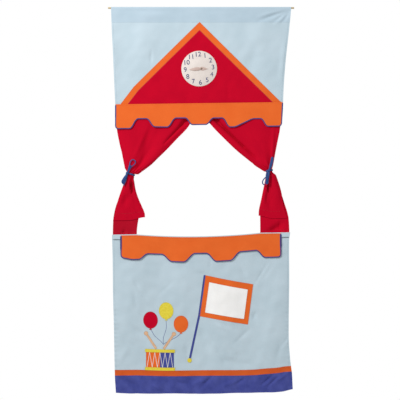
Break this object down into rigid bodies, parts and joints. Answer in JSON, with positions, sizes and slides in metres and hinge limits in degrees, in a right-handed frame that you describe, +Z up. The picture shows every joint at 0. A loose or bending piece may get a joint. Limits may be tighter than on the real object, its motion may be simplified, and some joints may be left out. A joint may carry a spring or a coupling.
{
  "type": "doorway puppet theatre",
  "caption": "Cloth puppet theatre hung in a doorway from a wooden rod, with a stage window between tied-back curtains, a clock with turning hands and scalloped valances.",
  "frame": {"origin": "middle of the hanging rod's axis", "axes": "+X along the rod to the audience's right, -Y towards the audience, +Z up"},
  "size_m": [0.868, 0.0424, 1.8041],
  "materials": {
    "wood": "plain sanded beech",
    "pale_blue_cloth": "thin polyester taffeta",
    "orange_cloth": "plain woven cloth",
    "red_cloth": "plain woven cloth",
    "blue_cloth": "plain woven cloth",
    "piping": "folded bias tape",
    "tape": "woven cord",
    "yellow_felt": "felt",
    "beige_felt": "felt",
    "white_cloth": "plain woven cloth",
    "dial_vinyl": "printed vinyl",
    "hand_vinyl": "translucent vinyl",
    "pin_metal": "dark pressed metal"
  },
  "bodies": {
    "rod": {"hanging_rod": "wood"},
    "upper_cloth": {"upper_panel": "pale_blue_cloth", "roof_border": "orange_cloth", "roof_gable": "red_cloth", "clock_dial": "dial_vinyl", "clock_pin": "pin_metal", "pin_washer": "pin_metal", "upper_valance": "orange_cloth", "upper_valance_piping": "piping", "left_curtain": "red_cloth", "right_curtain": "red_cloth", "left_strip": "red_cloth", "right_strip": "red_cloth", "left_tie": "tape", "right_tie": "tape", "left_bow": "tape", "right_bow": "tape"},
    "clock_hour": {"hour_hand": "hand_vinyl"},
    "clock_minute": {"minute_hand": "hand_vinyl"},
    "lower_cloth": {"lower_panel": "pale_blue_cloth", "lower_valance": "orange_cloth", "lower_valance_piping": "piping", "orange_band": "orange_cloth", "blue_band": "blue_cloth", "sign_pole": "blue_cloth", "pole_knob": "yellow_felt", "sign_cloth": "orange_cloth", "sign_field": "white_cloth", "drum_left": "orange_cloth", "drum_right": "blue_cloth", "drum_top_rim": "yellow_felt", "drum_foot_rim": "yellow_felt", "left_drumstick": "beige_felt", "right_drumstick": "beige_felt", "red_balloon": "red_cloth", "yellow_balloon": "yellow_felt", "orange_balloon": "orange_cloth"}
  },
  "joints": [
    {"name": "cloth_swing", "type": "hinge", "parent": "rod", "child": "upper_cloth", "pos_m": [0, 0, 0], "axis": [1, 0, 0], "range_deg": [-90, 90]},
    {"name": "sill_fold", "type": "hinge", "parent": "upper_cloth", "child": "lower_cloth", "pos_m": [0, 0.0008, -1.0537], "axis": [0.9999, 0, 0.0131], "range_deg": [-90, 90]},
    {"name": "hour_hand_turn", "type": "hinge", "parent": "upper_cloth", "child": "clock_hour", "pos_m": [0.001, -0.003, -0.283], "axis": [0, 1, 0], "continuous": true},
    {"name": "minute_hand_turn", "type": "hinge", "parent": "upper_cloth", "child": "clock_minute", "pos_m": [0.001, -0.0044, -0.283], "axis": [0, 1, 0], "continuous": true}
  ]
}
